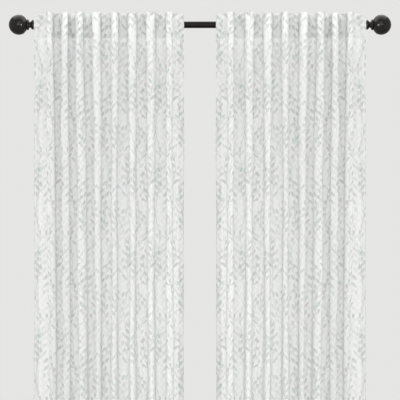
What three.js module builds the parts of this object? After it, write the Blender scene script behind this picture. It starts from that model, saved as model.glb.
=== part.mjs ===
// A pair of back-tab curtain panels hanging on a rod with ball finials.
// Millimetres. The origin is on the rod's axis at mid-span, +X runs along the rod to the right,
// +Y points to the wall behind the cloth and +Z is up. The room side is -Y.

import * as THREE from 'three';

// Rod
const ROD_RADIUS = 12.7;
const ROD_FACETS = 32;

// Finials: a collar with a socket for the rod's end, a neck, a disc and a ball
const FINIAL_FACE = 638.6;
const SOCKET_DEPTH = 8;
const SOCKET_GAP = 0.3;
const COLLAR_RADIUS = 18.3;
const COLLAR_LENGTH = 11;
const NECK_RADIUS = 10;
const NECK_LENGTH = 8;
const DISC_RADIUS = 21.2;
const DISC_LENGTH = 9;
const BALL_RADIUS = 38.5;
const BALL_CENTRE = 59.6;
const RIM_ROUND = 2.5;
const FINIAL_FACETS = 20;
const BALL_STEPS = 9;

// Cloth panels: 1270 wide and 2134 long when finished
const PANEL_LENGTH = 2134;
const PANEL_TOP = 42;
const SHEET_THICKNESS = 1.5;
const CLOTH_BETWEEN_TABS = 152;
const EDGE_CLOTH = 27;
const EDGE_FLAT = 12;
const EDGE_RADIUS = 8;
const ROOT_STEPS = 2;
const CREST_STEPS = 5;
const EDGE_STEPS = 2;

// The heading's corners sag: how far at the inner edge and at the outer one, and over what width of cloth
const INNER_SAG = 5;
const OUTER_SAG = 14;
const SAG_WIDTH = 50;

// Folds, counted from the panel's inner edge. crest is the distance of a fold's crest from mid-span, and
// width is how wide its front is, each at the heading, at mid height and low down. relax is how far its
// sides lean outwards low down, in degrees.
const FOLDS = [
  { crestTop: 118, crestMid: 116.5, crestLow: 115.5, widthTop: 27, widthMid: 23, widthLow: 29, relax: 6 },
  { crestTop: 188, crestMid: 188, crestLow: 185, widthTop: 37, widthMid: 25, widthLow: 19, relax: 12 },
  { crestTop: 259, crestMid: 257.5, crestLow: 257.5, widthTop: 37, widthMid: 21, widthLow: 18, relax: 12 },
  { crestTop: 325, crestMid: 327.5, crestLow: 327.5, widthTop: 31, widthMid: 19, widthLow: 23, relax: 9 },
  { crestTop: 396, crestMid: 390.5, crestLow: 388.5, widthTop: 36, widthMid: 25, widthLow: 17, relax: 6 },
  { crestTop: 460.5, crestMid: 453, crestLow: 445.5, widthTop: 31, widthMid: 38, widthLow: 35, relax: 2 },
  { crestTop: 517.5, crestMid: 514, crestLow: 508, widthTop: 26, widthMid: 31, widthLow: 24, relax: 1 },
  { crestTop: 575, crestMid: 569.5, crestLow: 561.5, widthTop: 25, widthMid: 33, widthLow: 22, relax: 3 },
];

// Levels of a panel, from the top edge down. drift runs from 0 at the heading through 1 at mid height to 2
// low down. sides is the slope of the folds' sides in degrees, root the radius at their foot, valley how far
// the flat cloth between them stands in front of the rod's axis, and curl how far the edges turn back.
const LEVELS = [
  { z: PANEL_TOP, drift: 0, sides: 93, root: 4.5, valley: 15, curl: -30, innerEdge: 62, outerEdge: 636.5 },
  { z: -60, drift: 0.1, sides: 93, root: 4.5, valley: 15, curl: -30, innerEdge: 62, outerEdge: 636.5 },
  { z: -190, drift: 0.3, sides: 94, root: 5.5, valley: 12, curl: 15, innerEdge: 62, outerEdge: 637 },
  { z: -450, drift: 0.7, sides: 95, root: 6, valley: 6, curl: 60, innerEdge: 62, outerEdge: 638 },
  { z: -800, drift: 1.1, sides: 95, root: 6.5, valley: 2, curl: 75, innerEdge: 62.5, outerEdge: 639 },
  { z: -1150, drift: 1.6, sides: 94, root: 7, valley: -2, curl: 75, innerEdge: 63.5, outerEdge: 639.5 },
  { z: -1500, drift: 2, sides: 92, root: 7.5, valley: -4, curl: 70, innerEdge: 64, outerEdge: 640 },
  { z: -1800, drift: 2, sides: 91, root: 8.5, valley: -6, curl: 60, innerEdge: 64, outerEdge: 640 },
  { z: PANEL_TOP - PANEL_LENGTH, drift: 2, sides: 90, root: 9, valley: -8, curl: 50, innerEdge: 64, outerEdge: 640 },
];

// Back tabs: strips sewn to the cloth above and below the rod
const TAB_WIDTH = 24;
const TAB_THICKNESS = 1.2;
const TAB_GAP = 0.3;
const TAB_TOP = 30;
const TAB_TURN_RADIUS = 3;
const TAB_LOOP_RADIUS = 13.9;
const TAB_LOOP_PAST_BACK = 40;
const TAB_LOWER_RADIUS = 10;
const TAB_SEWN_LENGTH = 12;
const TURN_STEPS = 2;
const LOOP_STEPS = 6;

// Finishes
const rodPaint = new THREE.MeshStandardMaterial({ color: 0x1b1918, roughness: 0.35, metalness: 0.4 });
const finialPaint = new THREE.MeshStandardMaterial({ color: 0x161413, roughness: 0.3, metalness: 0.4 });
const panelCloth = new THREE.MeshStandardMaterial({ color: 0xe9ebea, roughness: 0.9, metalness: 0 });
const tabCloth = new THREE.MeshStandardMaterial({ color: 0xeff0ef, roughness: 0.9, metalness: 0 });

// A line walked in a plane by straight runs and round bends, keeping its heading at every point
class Walk {
  constructor(u, v, headingDeg) {
    this.u = u;
    this.v = v;
    this.heading = THREE.MathUtils.degToRad(headingDeg);
    this.walked = 0;
    this.points = [];
    this.mark();
  }

  mark() {
    this.points.push({ u: this.u, v: this.v, heading: this.heading, walked: this.walked });
  }

  run(length) {
    this.u += length * Math.cos(this.heading);
    this.v += length * Math.sin(this.heading);
    this.walked += length;
    this.mark();
    return this;
  }

  bend(radius, angleDeg, steps) {
    const turn = THREE.MathUtils.degToRad(angleDeg) / steps;
    const chord = 2 * radius * Math.sin(Math.abs(turn) / 2);
    for (let i = 0; i < steps; i += 1) {
      this.heading += turn / 2;
      this.u += chord * Math.cos(this.heading);
      this.v += chord * Math.sin(this.heading);
      this.heading += turn / 2;
      this.walked += radius * Math.abs(turn);
      this.mark();
    }
    return this;
  }

  // The line moved sideways, to the left of its heading
  offset(distance) {
    return this.points.map((p) => ({
      u: p.u - distance * Math.sin(p.heading),
      v: p.v + distance * Math.cos(p.heading),
      walked: p.walked,
    }));
  }
}

// A fold's value at a level, between its top, mid and low columns
function atDrift(fold, name, drift) {
  const [top, mid, low] = [fold[`${name}Top`], fold[`${name}Mid`], fold[`${name}Low`]];
  return drift < 1 ? THREE.MathUtils.lerp(top, mid, drift) : THREE.MathUtils.lerp(mid, low, drift - 1);
}

// How far the cloth beyond the outermost tabs reaches sideways, and what is left of it past its bend
function edgeShape(level) {
  const curl = THREE.MathUtils.degToRad(Math.abs(level.curl));
  const tail = EDGE_CLOTH - EDGE_FLAT - EDGE_RADIUS * curl;
  const reach = EDGE_FLAT + EDGE_RADIUS * Math.sin(curl) + tail * Math.cos(curl);
  return { tail, reach };
}

// The middles of the flat stretches between the folds, where the tabs are sewn
function valleyCentres(level) {
  const { reach } = edgeShape(level);
  const centres = [level.innerEdge + reach];
  for (let i = 1; i < FOLDS.length; i += 1) {
    const [inner, outer] = [FOLDS[i - 1], FOLDS[i]];
    const from = atDrift(inner, 'crest', level.drift) + atDrift(inner, 'width', level.drift) / 2;
    const to = atDrift(outer, 'crest', level.drift) - atDrift(outer, 'width', level.drift) / 2;
    centres.push((from + to) / 2);
  }
  centres.push(level.outerEdge - reach);
  return centres;
}

// A fold's radii, the length of its sides and the flat cloth left on each side of it. The sides take up
// whatever cloth there is between two tabs once the bends and the flats are made.
function foldShape(fold, level, from, to) {
  const sidesDeg = level.sides - (fold.relax * level.drift) / 2;
  const sides = THREE.MathUtils.degToRad(sidesDeg);
  const crest = atDrift(fold, 'crest', level.drift);
  const crestRadius = atDrift(fold, 'width', level.drift) / 2;
  const radii = level.root + crestRadius;
  const spare = CLOTH_BETWEEN_TABS - (to - from) - 2 * radii * (sides - Math.sin(sides));
  const side = spare / (2 * (1 - Math.cos(sides)));
  const half = radii * Math.sin(sides) + side * Math.cos(sides);
  return { sidesDeg, crestRadius, side, flatBefore: crest - from - half, flatAfter: to - crest - half };
}

// The line that a panel's cloth follows at one level, from its inner edge to its outer one
function panelLine(level) {
  const { tail, reach } = edgeShape(level);
  const centres = valleyCentres(level);
  const curl = THREE.MathUtils.degToRad(level.curl);
  const edgeRise = Math.sign(curl) * EDGE_RADIUS * (1 - Math.cos(curl)) + tail * Math.sin(curl);
  const walk = new Walk(centres[0] - reach, level.valley - edgeRise, level.curl);
  walk.run(tail).bend(EDGE_RADIUS, -level.curl, EDGE_STEPS);
  let flat = EDGE_FLAT;
  FOLDS.forEach((fold, i) => {
    const shape = foldShape(fold, level, centres[i], centres[i + 1]);
    walk.run(flat + shape.flatBefore).bend(level.root, shape.sidesDeg, ROOT_STEPS).run(shape.side);
    walk.bend(shape.crestRadius, -2 * shape.sidesDeg, CREST_STEPS).run(shape.side);
    walk.bend(level.root, shape.sidesDeg, ROOT_STEPS);
    flat = shape.flatAfter;
  });
  walk.run(flat + EDGE_FLAT).bend(EDGE_RADIUS, -level.curl, EDGE_STEPS).run(tail);
  return walk;
}

// How far the heading's corners sag below its middle, at a distance along the cloth from the inner edge
function headingSag(walked) {
  const clothWidth = FOLDS.length * CLOTH_BETWEEN_TABS + 2 * EDGE_CLOTH;
  const inner = Math.max(0, 1 - walked / SAG_WIDTH);
  const outer = Math.max(0, 1 - (clothWidth - walked) / SAG_WIDTH);
  return INNER_SAG * inner ** 2 + OUTER_SAG * outer ** 2;
}

// One panel: a closed thin sheet lofted through its levels. side is 1 for the right panel and -1 for the left.
function panelGeometry(side) {
  const rings = LEVELS.map((level, row) => {
    const line = panelLine(level);
    const front = line.offset(SHEET_THICKNESS / 2);
    const back = line.offset(-SHEET_THICKNESS / 2).reverse();
    const sag = (p) => (row === 0 ? headingSag(p.walked) : 0);
    return [...front, ...back].map((p) => [side * p.u, -p.v, level.z - sag(p)]);
  });
  const around = rings[0].length;
  const triangles = [];
  const quad = (a, b, c, d) => {
    triangles.push(...(side > 0 ? [a, b, c, a, c, d] : [a, c, b, a, d, c]));
  };
  for (let row = 0; row < rings.length - 1; row += 1) {
    for (let i = 0; i < around; i += 1) {
      const next = (i + 1) % around;
      const [upper, lower] = [row * around, (row + 1) * around];
      quad(upper + i, lower + i, lower + next, upper + next);
    }
  }
  const last = (rings.length - 1) * around;
  for (let i = 0; i < around / 2 - 1; i += 1) {
    const behind = around - 1 - i;
    quad(i, i + 1, behind - 1, behind);
    quad(last + i, last + behind, last + behind - 1, last + i + 1);
  }
  const geometry = new THREE.BufferGeometry();
  geometry.setAttribute('position', new THREE.Float32BufferAttribute(rings.flat(2), 3));
  geometry.setIndex(triangles);
  geometry.computeVertexNormals();
  return geometry;
}

// One back tab, walked in the plane across the rod with u towards the wall and v up: sewn down the cloth's
// back, over the rod, round behind it and forward to the lower seam
function tabGeometry() {
  const clothBack = LEVELS[0].valley - SHEET_THICKNESS / 2;
  const sewnAt = -(clothBack - TAB_GAP - TAB_THICKNESS / 2);
  const below = THREE.MathUtils.degToRad(TAB_LOOP_PAST_BACK);
  const loopEnd = TAB_LOOP_RADIUS * Math.cos(below);
  const lowerBend = TAB_LOWER_RADIUS * (1 - Math.cos(below));
  const walk = new Walk(sewnAt, TAB_TOP, -90);
  walk.run(TAB_TOP - TAB_LOOP_RADIUS - TAB_TURN_RADIUS).bend(TAB_TURN_RADIUS, 90, TURN_STEPS);
  walk.run(-sewnAt - TAB_TURN_RADIUS).bend(TAB_LOOP_RADIUS, -90 - TAB_LOOP_PAST_BACK, LOOP_STEPS);
  walk.run((loopEnd - sewnAt - lowerBend) / Math.sin(below));
  walk.bend(TAB_LOWER_RADIUS, TAB_LOOP_PAST_BACK, TURN_STEPS).run(TAB_SEWN_LENGTH);
  const outline = [...walk.offset(TAB_THICKNESS / 2), ...walk.offset(-TAB_THICKNESS / 2).reverse()];
  const shape = new THREE.Shape(outline.map((p) => new THREE.Vector2(p.u, p.v)));
  const geometry = new THREE.ExtrudeGeometry(shape, { depth: TAB_WIDTH, bevelEnabled: false });
  geometry.translate(0, 0, -TAB_WIDTH / 2);
  geometry.rotateX(Math.PI / 2);
  geometry.rotateZ(Math.PI / 2);
  return geometry;
}

// A round over the rim of a disc, from one of its faces to its edge
function rim(radius, along, towards) {
  const corner = RIM_ROUND * Math.SQRT1_2;
  const points = [
    new THREE.Vector2(radius - RIM_ROUND, along),
    new THREE.Vector2(radius - RIM_ROUND + corner, along + towards * (RIM_ROUND - corner)),
    new THREE.Vector2(radius, along + towards * RIM_ROUND),
  ];
  return towards > 0 ? points : points.reverse();
}

// One finial, turned about its own axis, with its inner face at height 0 and its ball above
function finialGeometry() {
  const neckEnd = COLLAR_LENGTH + NECK_LENGTH;
  const discEnd = neckEnd + DISC_LENGTH;
  const ballFrom = Math.acos((BALL_CENTRE - discEnd) / BALL_RADIUS);
  const profile = [
    new THREE.Vector2(0, SOCKET_DEPTH),
    new THREE.Vector2(ROD_RADIUS + SOCKET_GAP, SOCKET_DEPTH),
    new THREE.Vector2(ROD_RADIUS + SOCKET_GAP, 0),
    ...rim(COLLAR_RADIUS, 0, 1),
    ...rim(COLLAR_RADIUS, COLLAR_LENGTH, -1),
    new THREE.Vector2(NECK_RADIUS, COLLAR_LENGTH),
    new THREE.Vector2(NECK_RADIUS, neckEnd),
    ...rim(DISC_RADIUS, neckEnd, 1),
    new THREE.Vector2(DISC_RADIUS, discEnd - RIM_ROUND),
  ];
  for (let i = 0; i <= BALL_STEPS; i += 1) {
    const angle = THREE.MathUtils.lerp(ballFrom, Math.PI, i / BALL_STEPS);
    const radius = i === BALL_STEPS ? 0 : BALL_RADIUS * Math.sin(angle);
    profile.push(new THREE.Vector2(radius, BALL_CENTRE - BALL_RADIUS * Math.cos(angle)));
  }
  return new THREE.LatheGeometry(profile, FINIAL_FACETS);
}

function piece(name, geometry, material) {
  const mesh = new THREE.Mesh(geometry, material);
  mesh.name = name;
  return mesh;
}

const curtain = new THREE.Group();

const rodLength = 2 * (FINIAL_FACE + SOCKET_DEPTH - SOCKET_GAP);
const rod = piece('rod', new THREE.CylinderGeometry(ROD_RADIUS, ROD_RADIUS, rodLength, ROD_FACETS), rodPaint);
rod.rotation.z = Math.PI / 2;
curtain.add(rod);

const SIDES = [
  { name: 'left', side: -1 },
  { name: 'right', side: 1 },
];
SIDES.forEach(({ name, side }) => {
  const finial = piece(`finial_${name}`, finialGeometry(), finialPaint);
  finial.rotation.z = -side * (Math.PI / 2);
  finial.position.x = side * FINIAL_FACE;
  curtain.add(finial);

  curtain.add(piece(`panel_${name}`, panelGeometry(side), panelCloth));

  valleyCentres(LEVELS[0]).forEach((centre, i) => {
    const tab = piece(`tab_${name}_${i + 1}`, tabGeometry(), tabCloth);
    tab.position.x = side * centre;
    curtain.add(tab);
  });
});

export default curtain;
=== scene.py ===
"""A pair of back-tab curtain panels on a rod with ball finials, in a plain studio.

Metres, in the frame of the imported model: the origin is on the rod's axis at mid-span, +X runs along the rod to
the right, +Y points to the wall behind the cloth and +Z is up. The room side is -Y.
"""

import math
from collections import namedtuple

import bpy
import numpy as np
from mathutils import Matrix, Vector


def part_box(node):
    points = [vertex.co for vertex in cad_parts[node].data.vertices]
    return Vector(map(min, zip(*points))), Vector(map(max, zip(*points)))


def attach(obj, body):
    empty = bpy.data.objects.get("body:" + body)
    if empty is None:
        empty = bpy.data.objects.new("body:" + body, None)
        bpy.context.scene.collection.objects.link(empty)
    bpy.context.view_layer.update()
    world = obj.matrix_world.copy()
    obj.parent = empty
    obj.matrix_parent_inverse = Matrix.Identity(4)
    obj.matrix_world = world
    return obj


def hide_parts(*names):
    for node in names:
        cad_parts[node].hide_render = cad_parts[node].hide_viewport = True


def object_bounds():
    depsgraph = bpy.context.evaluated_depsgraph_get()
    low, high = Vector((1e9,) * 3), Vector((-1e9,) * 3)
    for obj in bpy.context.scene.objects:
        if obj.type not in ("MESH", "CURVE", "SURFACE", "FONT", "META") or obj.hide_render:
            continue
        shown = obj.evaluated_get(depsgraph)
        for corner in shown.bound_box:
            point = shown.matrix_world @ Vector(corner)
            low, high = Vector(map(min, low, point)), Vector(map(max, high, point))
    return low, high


bl_info = {
    "name": "Back-tab curtain pair",
    "version": (1, 0, 0),
    "blender": (4, 5, 0),
    "location": "3D View > Sidebar > Curtain",
    "description": "Adds a pair of printed semi-sheer curtain panels on a rod with ball finials",
    "category": "Add Mesh",
}

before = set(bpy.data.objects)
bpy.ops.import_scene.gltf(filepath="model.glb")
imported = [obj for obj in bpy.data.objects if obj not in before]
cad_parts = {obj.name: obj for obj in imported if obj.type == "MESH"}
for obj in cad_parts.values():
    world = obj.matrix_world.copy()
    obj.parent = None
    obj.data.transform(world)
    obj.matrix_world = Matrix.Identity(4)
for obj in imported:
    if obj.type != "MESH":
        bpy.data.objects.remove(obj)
CAD_LOW, CAD_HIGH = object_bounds()

SIDES = {"left": -1, "right": 1}
TAB_COUNT = 9

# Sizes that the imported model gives
ROD_LOW, ROD_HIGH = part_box("rod")
ROD_RADIUS = ROD_HIGH.z
FINIAL_LOW, FINIAL_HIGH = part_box("finial_right")
PANEL_LOW, PANEL_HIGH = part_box("panel_right")
PANEL_LENGTH = PANEL_HIGH.z - PANEL_LOW.z
TAB_LOW, TAB_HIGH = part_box("tab_right_1")
TAB_WIDTH = TAB_HIGH.x - TAB_LOW.x

# One fold of a panel, counted from the inner edge: how far its crest lies from mid-span and how wide its front
# is, at the heading, at mid height and low down, and how many degrees its sides lean outwards low down
Fold = namedtuple("Fold", "crest_top crest_mid crest_low width_top width_mid width_low relax")
FOLDS = [
    Fold(0.1180, 0.1165, 0.1155, 0.027, 0.023, 0.029, 6),
    Fold(0.1880, 0.1880, 0.1850, 0.037, 0.025, 0.019, 12),
    Fold(0.2590, 0.2575, 0.2575, 0.037, 0.021, 0.018, 12),
    Fold(0.3250, 0.3275, 0.3275, 0.031, 0.019, 0.023, 9),
    Fold(0.3960, 0.3905, 0.3885, 0.036, 0.025, 0.017, 6),
    Fold(0.4605, 0.4530, 0.4455, 0.031, 0.038, 0.035, 2),
    Fold(0.5175, 0.5140, 0.5080, 0.026, 0.031, 0.024, 1),
    Fold(0.5750, 0.5695, 0.5615, 0.025, 0.033, 0.022, 3),
]

# One level of a panel: its height, its place between the columns above (0 heading, 1 mid, 2 low), the slope of
# the folds' sides in degrees, the radius at their foot, how far the valleys stand in front of the rod's axis,
# how many degrees the edges turn back, and where the two edges are
Level = namedtuple("Level", "z drift sides root valley curl inner_edge outer_edge")
LEVELS = [
    Level(PANEL_HIGH.z, 0.0, 93, 0.0045, 0.015, -30, 0.0620, 0.6365),
    Level(-0.060, 0.1, 93, 0.0045, 0.015, -30, 0.0620, 0.6365),
    Level(-0.190, 0.3, 94, 0.0055, 0.012, 15, 0.0620, 0.6370),
    Level(-0.450, 0.7, 95, 0.0060, 0.006, 60, 0.0620, 0.6380),
    Level(-0.800, 1.1, 95, 0.0065, 0.002, 75, 0.0625, 0.6390),
    Level(-1.150, 1.6, 94, 0.0070, -0.002, 75, 0.0635, 0.6395),
    Level(-1.500, 2.0, 92, 0.0075, -0.004, 70, 0.0640, 0.6400),
    Level(-1.800, 2.0, 91, 0.0085, -0.006, 60, 0.0640, 0.6400),
    Level(PANEL_LOW.z, 2.0, 90, 0.0090, -0.008, 50, 0.0640, 0.6400),
]

# The cloth from one tab to the next and from the last one to the panel's edge, and of that what is flat and how
# tightly the rest bends
CLOTH_BETWEEN_TABS = 0.152
EDGE_CLOTH = 0.027
EDGE_FLAT = 0.012
EDGE_RADIUS = 0.008

# A section is followed in steps of this length, and its bends are softened over so many steps to each side
SECTION_STEP = 0.001
SECTION_SOFTENING = 3

# Back tabs: how far they stay clear of the rod and the cloth, the bends at their upper seam and above their lower
# one, how many degrees past the rod's back they keep to it, how far their waist is drawn in, as a part of their
# width, how many rows their mesh has, and how far each runs askew
TAB_GAP = 0.0003
TAB_UPPER_BEND = 0.003
TAB_LOWER_BEND = 0.010
TAB_PAST_BACK = 40
TAB_WAIST = 0.05
TAB_ROWS = 91
TAB_SKEWS = (0.0008, -0.0005, 0.0010, 0.0003, -0.0009, 0.0006, -0.0003, -0.0010, 0.0005)

# The heading's corners sag: how far at the inner edge and at the outer one, over what width and what height
INNER_SAG = 0.005
OUTER_SAG = 0.014
SAG_WIDTH = 0.050
SAG_HEIGHT = 0.100

# How far apart the layers of the side hems are, and those of the heading and the bottom hem. A seam lies a little
# inside a hem's edge and draws its layers together by a share of that gap. The mesh has extra lines there, at these
# parts of the seam's spread, and none of its own nearer to them than a part of its step.
SIDE_GAP = 0.0004
END_GAP = 0.0008
SEAM_INSET = 0.003
SEAM_SPREAD = 0.0025
SEAM_DRAW = 0.35
SEAM_LINES = (-1.6, -0.8, 0, 0.8, 1.6)
SEAM_CLEAR = 0.3

# Soft unevenness of the folds: a swing of the cloth's heading in degrees, how long it is across the cloth and
# down it, and where it starts, as a part of its length
Ripple = namedtuple("Ripple", "degrees across down start")
RIPPLES = [
    Ripple(2.6, 0.118, 0.93, 0.10),
    Ripple(2.2, 0.071, 0.61, 0.45),
    Ripple(1.8, 0.047, -0.47, 0.70),
    Ripple(1.5, 0.033, 0.29, 0.25),
]

# One crease pressed or pulled into the cloth: how far along the flat cloth from the inner edge and how far below
# the heading it starts, how long it is, how far it drifts outwards on its way down, how deep a trough it makes, or
# how high a ridge where it is negative, and how far it spreads to each side
Crease = namedtuple("Crease", "along drop length drift depth spread")
CREASES = [
    Crease(0.024, 0.088, 0.090, -0.012, 0.0014, 0.009),
    Crease(0.031, 0.090, 0.130, 0.014, 0.0012, 0.010),
    Crease(0.176, 0.090, 0.110, -0.011, 0.0018, 0.008),
    Crease(0.184, 0.092, 0.080, 0.010, 0.0012, 0.007),
    Crease(0.331, 0.091, 0.140, 0.009, 0.0016, 0.009),
    Crease(0.479, 0.089, 0.090, -0.013, 0.0015, 0.008),
    Crease(0.486, 0.092, 0.120, 0.008, 0.0017, 0.008),
    Crease(0.635, 0.090, 0.150, -0.006, 0.0018, 0.010),
    Crease(0.783, 0.090, 0.100, -0.012, 0.0013, 0.008),
    Crease(0.790, 0.091, 0.110, 0.012, 0.0016, 0.008),
    Crease(0.939, 0.090, 0.130, 0.010, 0.0015, 0.009),
    Crease(1.087, 0.089, 0.120, -0.014, 0.0019, 0.009),
    Crease(1.095, 0.092, 0.090, 0.010, 0.0014, 0.008),
    Crease(1.240, 0.090, 0.210, -0.010, 0.0016, 0.011),
    Crease(0.070, 0.420, 0.360, 0.035, 0.0022, 0.016),
    Crease(0.148, 0.760, 0.420, -0.040, -0.0024, 0.018),
    Crease(0.262, 0.560, 0.300, 0.028, 0.0020, 0.014),
    Crease(0.395, 1.050, 0.480, -0.030, 0.0026, 0.018),
    Crease(0.520, 0.350, 0.260, -0.026, 0.0018, 0.013),
    Crease(0.603, 1.180, 0.400, 0.036, -0.0024, 0.017),
    Crease(0.702, 0.640, 0.340, 0.030, 0.0022, 0.015),
    Crease(0.842, 1.300, 0.500, -0.034, 0.0028, 0.019),
    Crease(0.905, 0.480, 0.280, -0.024, 0.0020, 0.014),
    Crease(1.030, 0.900, 0.420, 0.032, -0.0022, 0.017),
    Crease(1.170, 0.620, 0.340, -0.028, 0.0022, 0.015),
    Crease(1.215, 1.280, 0.620, 0.012, 0.0032, 0.018),
]

# How sharply a crease fades to its sides, how strong the ridges there are, and the power that puts its deepest place
# above its middle
CREASE_FADE, CREASE_RIDGES, CREASE_RISE = 2.5, 0.6, 0.7

# One stem of the print, within one repeat of it: where it stands, how far it swings and sways, where in the
# repeat it does, as parts of the repeat, how strongly its line shows, and its leaves: how many a side in one
# repeat, their length and width, and how far they lean from the stem, at the least and at the most, in degrees
Stem = namedtuple("Stem", "offset swing swing_at sway sway_at line leaves length width lean_least lean_most")
REPEAT_UP = 0.320
REPEAT_ACROSS = 0.2117
STEMS = [
    Stem(0.003, 0.0060, 0.00, 0.0030, 0.20, 0.34, 11, 0.0308, 0.0124, 13, 48),
    Stem(0.027, 0.0053, 0.11, 0.0041, 0.35, 0.22, 12, 0.0286, 0.0094, 17, 62),
    Stem(0.051, 0.0067, 0.21, 0.0030, 0.10, 0.40, 10, 0.0330, 0.0109, 10, 42),
    Stem(0.073, 0.0053, 0.33, 0.0045, 0.48, 0.20, 12, 0.0286, 0.0120, 18, 64),
    Stem(0.098, 0.0060, 0.42, 0.0026, 0.27, 0.46, 11, 0.0297, 0.0096, 11, 46),
    Stem(0.121, 0.0067, 0.56, 0.0037, 0.62, 0.24, 10, 0.0297, 0.0118, 15, 58),
    Stem(0.144, 0.0045, 0.65, 0.0045, 0.50, 0.36, 12, 0.0308, 0.0098, 9, 44),
    Stem(0.168, 0.0060, 0.78, 0.0034, 0.85, 0.22, 11, 0.0297, 0.0123, 17, 62),
    Stem(0.190, 0.0053, 0.90, 0.0037, 0.72, 0.42, 12, 0.0297, 0.0103, 12, 50),
]
# One fork: the stem that it leaves, at what height, how far it reaches aside, how long it climbs, how strongly its
# line shows, and its leaves
Fork = namedtuple("Fork", "stem at reach climb line leaves length width lean_least lean_most")
FORKS = [
    Fork(0, 0.050, 0.015, 0.135, 0.58, 14, 0.0254, 0.0100, 15, 52),
    Fork(2, 0.195, -0.014, 0.125, 0.50, 13, 0.0265, 0.0111, 12, 48),
    Fork(4, 0.115, 0.016, 0.140, 0.61, 14, 0.0244, 0.0093, 18, 56),
    Fork(5, 0.290, -0.013, 0.110, 0.43, 13, 0.0254, 0.0106, 14, 52),
    Fork(6, 0.015, -0.015, 0.120, 0.54, 13, 0.0254, 0.0098, 12, 48),
    Fork(8, 0.160, -0.014, 0.130, 0.47, 14, 0.0265, 0.0104, 16, 56),
]

# How every leaf is drawn. Chances are numbers from 0 to 1, and edges fade between two distances.
LEAN_POWER = 1.4  # makes small leans commoner than large ones
LEAF_DROP = 0.004  # from the leaf's node down to its base
LEAF_STALK = 0.0012  # from its base to its blade
LENGTH_LEAST, LENGTH_MORE = 0.66, 0.4  # its length as a part of the listed one, and what chance adds
LEAF_BEND, STRAIGHT_AT = 0.006, 0.3  # how far its tip bends by chance, and at which chance it stays straight
LEAF_BLUNT, LEAF_FULL = 0.7, 1.58  # how blunt its base is, and what brings it to the listed width
LEAF_EDGE = (0.0, 0.0009)
INK_LEAST, INK_MORE, INK_POWER = 0.11, 0.49, 2.0  # how strongly it shows, and what chance adds
INK_AT_BASE, INK_TO_TIP = 0.7, 0.45
RIB_EDGE, RIB_INK = (0.0003, 0.0008), 0.7
STEM_EDGE = (0.0006, 0.0012)

# The weave: how far apart its threads are, how many slubs a metre has for weft and for warp, across the cloth and
# up it, between which sums they fade, and how many cloudy patches a metre has
THREAD_PITCH = 0.0011
SLUBS = ((18.0, 700.0, 1.0), (700.0, 14.0, 1.0))
SLUB_FADE = (0.75, 1.3)
CLOUDS = 9.0
HEADING_LIGHT_FADE = (1.05, 0.55)  # where the painted light over the heading's double cloth begins and ends to show, in headings from the top
SHEERNESS = 0.38  # share of the light that goes through the cloth and scatters behind it

# How strongly slubs and clouds darken the cloth, and seams with painted shade in their troughs, and to what part of
# its ground colour
Dark = namedtuple("Dark", "strength part")
SLUB_DARK, CLOUD_DARK, SEAM_PAINTED_SHADE = Dark(0.07, 0.6), Dark(0.05, 0.8), Dark(0.10, 0.55)

# Stitches: where one's end fades, in stitches, its thread's edge and its trough's, how strongly the thread shows,
# and how high weave, seam and thread stand for a slub's 1
STITCH_END = (0.06, 0.12)
THREAD_EDGE = (0.00018, 0.00035)
TROUGH_EDGE = (0.0, 0.0016)
THREAD_SHOWS = 0.75
WEAVE_HIGH, SEAM_HIGH, THREAD_HIGH = 0.25, -1.2, 0.9

# A paint on metal: how rough it is, and how strongly it mirrors
Paint = namedtuple("Paint", "roughness gloss")
ROD_PAINT = Paint(0.36, 0.07)
FINIAL_PAINT = Paint(0.13, 0.12)

# The round floor: how wide its plain middle is and the whole of it, how far it lies under the hems, and how many
# facets its rim has
FLOOR_PLAIN, FLOOR_RADIUS, FLOOR_DROP, FLOOR_FACETS = 1.6, 4.8, 0.012, 96
FLOOR_COLOUR = (0.78, 0.78, 0.76)

# One lamp: where it stands, what it aims at, its width and height, its power in watts, how many degrees its light
# spreads and which pieces it lights, or none for all. A lamp with no aim is round and shines all ways.
Lamp = namedtuple("Lamp", "name place aim size power spread lights")
FINIALS = ("finial_left_turned", "finial_right_turned")
CLOTHS = ("panel_left_cloth", "panel_right_cloth")
LAMPS = [
    Lamp("key", (0.0, -3.8, 1.0), (0.0, 0.0, -0.9), (3.0, 1.8), 44.0, 180, ()),
    Lamp("before_heading", (0.0, -0.40, 0.0), (0.0, 0.0, 0.0), (1.7, 0.04), 0.19, 40, ()),
    Lamp("glint", (0.0, -0.84, -0.10), (0.0, 0.0, 0.0), (0.15, 0.15), 21.0, 180, FINIALS),
    Lamp("sheen", (0.0, 0.35, 1.0), (0.0, 0.35, 0.0), (3.0, 1.5), 40.0, 180, ("rod_bar", *FINIALS)),
    Lamp("behind", (0.0, 1.05, -1.25), None, (0.6, 0.6), 20.5, 180, CLOTHS),
]
FROM_ROOM, FROM_WALL = -0.35, 0.45  # the room's light gives way to the wall's between these y of its direction


def size_property(name, description, default, unit="LENGTH"):
    """A length that a user can change, or a plain number where unit is NONE."""
    return bpy.props.FloatProperty(name=name, description=description, default=default, unit=unit)


def colour_property(name, description, default):
    """A colour that a user can change."""
    return bpy.props.FloatVectorProperty(name=name, description=description, default=default, subtype="COLOR")


class CurtainClothSizes(bpy.types.PropertyGroup):
    """Sizes of the cloth panels and their tabs."""

    flat_width: size_property("Flat width", "Width of a finished panel laid flat", 1.27)
    side_hem: size_property("Side hem", "Cloth turned to the back along each side", 0.025)
    bottom_hem: size_property("Bottom hem", "Cloth turned up at the foot", 0.076)
    heading: size_property("Heading", "Cloth turned down at the top", 0.095)
    column: size_property("Column", "Width of one column of the mesh", 0.0036)
    row: size_property("Row", "Height of one row of the mesh", 0.014)
    tab_thickness: size_property("Tab thickness", "Thickness of a back tab", 0.0010)
    stitch: size_property("Stitch", "Length of one stitch and its gap", 0.0026)


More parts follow.
